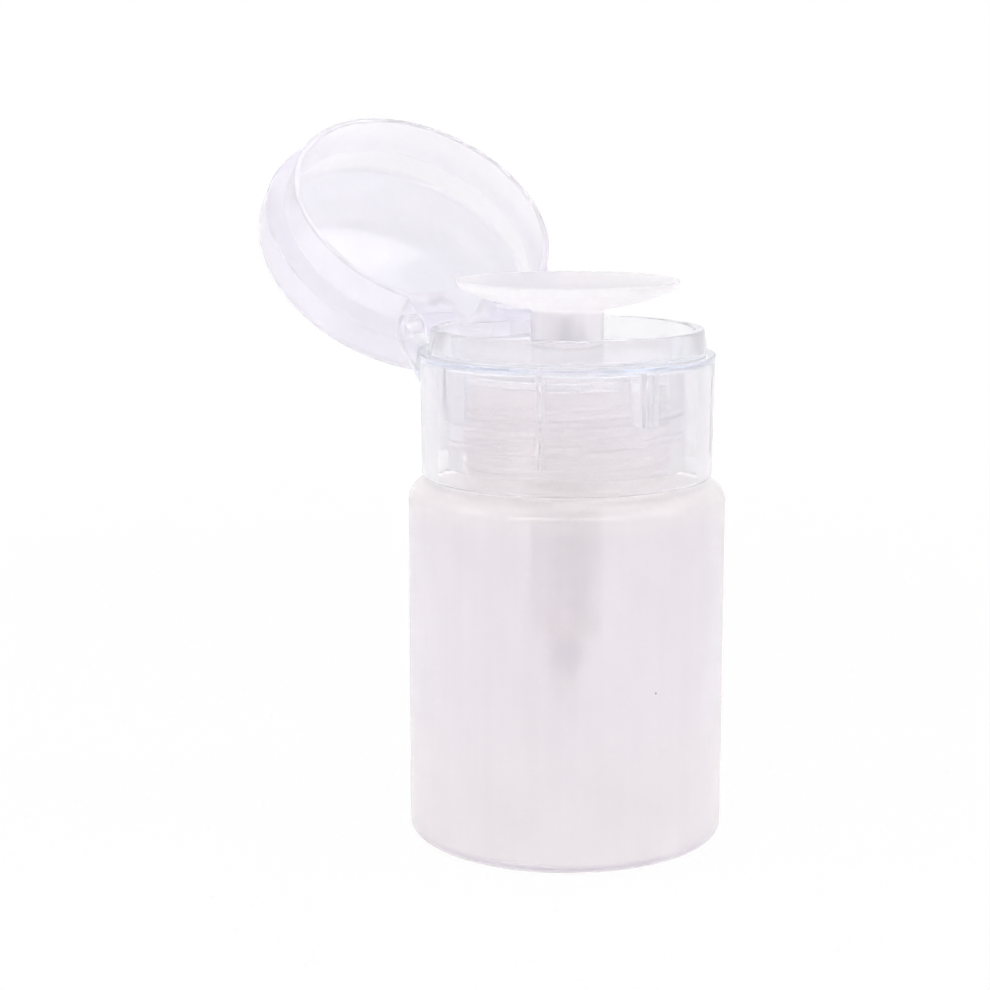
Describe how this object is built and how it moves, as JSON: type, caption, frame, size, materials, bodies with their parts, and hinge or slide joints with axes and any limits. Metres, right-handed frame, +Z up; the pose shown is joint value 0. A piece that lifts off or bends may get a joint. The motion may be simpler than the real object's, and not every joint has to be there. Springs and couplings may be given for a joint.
{
  "type": "push-down pump bottle with flip lid",
  "caption": "Round frosted bottle with a screw collar, a spring-loaded push-down dish pump and an open flip lid.",
  "frame": {"origin": "centre of the base, on the surface that the bottle stands on", "axes": "+Z up along the bottle's axis; the lid's hinge is at +Y and the front at -Y; +X along the hinge pins"},
  "size_m": [0.0436, 0.0813, 0.0949],
  "materials": {
    "frosted_body": "frosted translucent, near white with a lavender cast",
    "clear_collar": "natural translucent, glossy",
    "clear_lid": "natural translucent, glossy",
    "clear_dish": "natural translucent, satin",
    "pump_plastic": "natural translucent, satin",
    "clear_tube": "clear",
    "seal_plastic": "soft white",
    "steel": "bright wire and ball"
  },
  "bodies": {
    "bottle": {"bottle": "frosted_body"},
    "pump_unit": {"pump_housing": "pump_plastic", "neck_gasket": "seal_plastic", "retaining_bush": "pump_plastic", "stem_seal": "seal_plastic", "spring_seat": "pump_plastic", "return_spring": "steel", "dip_tube": "clear_tube"},
    "collar": {"screw_collar": "clear_collar"},
    "lid": {"flip_lid": "clear_lid"},
    "plunger": {"dish": "clear_dish", "outlet_cap": "pump_plastic", "pump_stem": "pump_plastic", "piston_core": "pump_plastic", "piston_cup": "seal_plastic"},
    "suction_ball": {"suction_ball": "steel"},
    "outlet_ball": {"outlet_ball": "steel"}
  },
  "joints": [
    {"name": "pump_lift", "type": "slide", "parent": "bottle", "child": "pump_unit", "axis": [0, 0, 1], "range_m": [0, 0.00927]},
    {"name": "collar_turn", "type": "hinge", "parent": "pump_unit", "child": "collar", "pos_m": [0, 0, 0.0482], "axis": [0, 0, 1], "range_deg": [0, 1050]},
    {"name": "lid_hinge", "type": "hinge", "parent": "collar", "child": "lid", "pos_m": [0, 0.02176, 0.06638], "axis": [1, 0, 0], "range_deg": [0, 138]},
    {"name": "plunger_press", "type": "slide", "parent": "pump_unit", "child": "plunger", "axis": [0, 0, -1], "range_m": [0, 0.0055], "stiffness_N_per_m": 450, "springref_m": -0.004, "deforming": ["return_spring"]},
    {"name": "suction_ball_lift", "type": "slide", "parent": "pump_unit", "child": "suction_ball", "axis": [0, 0, 1], "range_m": [0, 0.0007]},
    {"name": "outlet_ball_lift", "type": "slide", "parent": "plunger", "child": "outlet_ball", "axis": [0, 0, 1], "range_m": [0, 0.0007]}
  ],
  "couplings": [
    {"joint": "pump_lift", "follows": "collar_turn", "m_per_rad": 0.00050532}
  ]
}
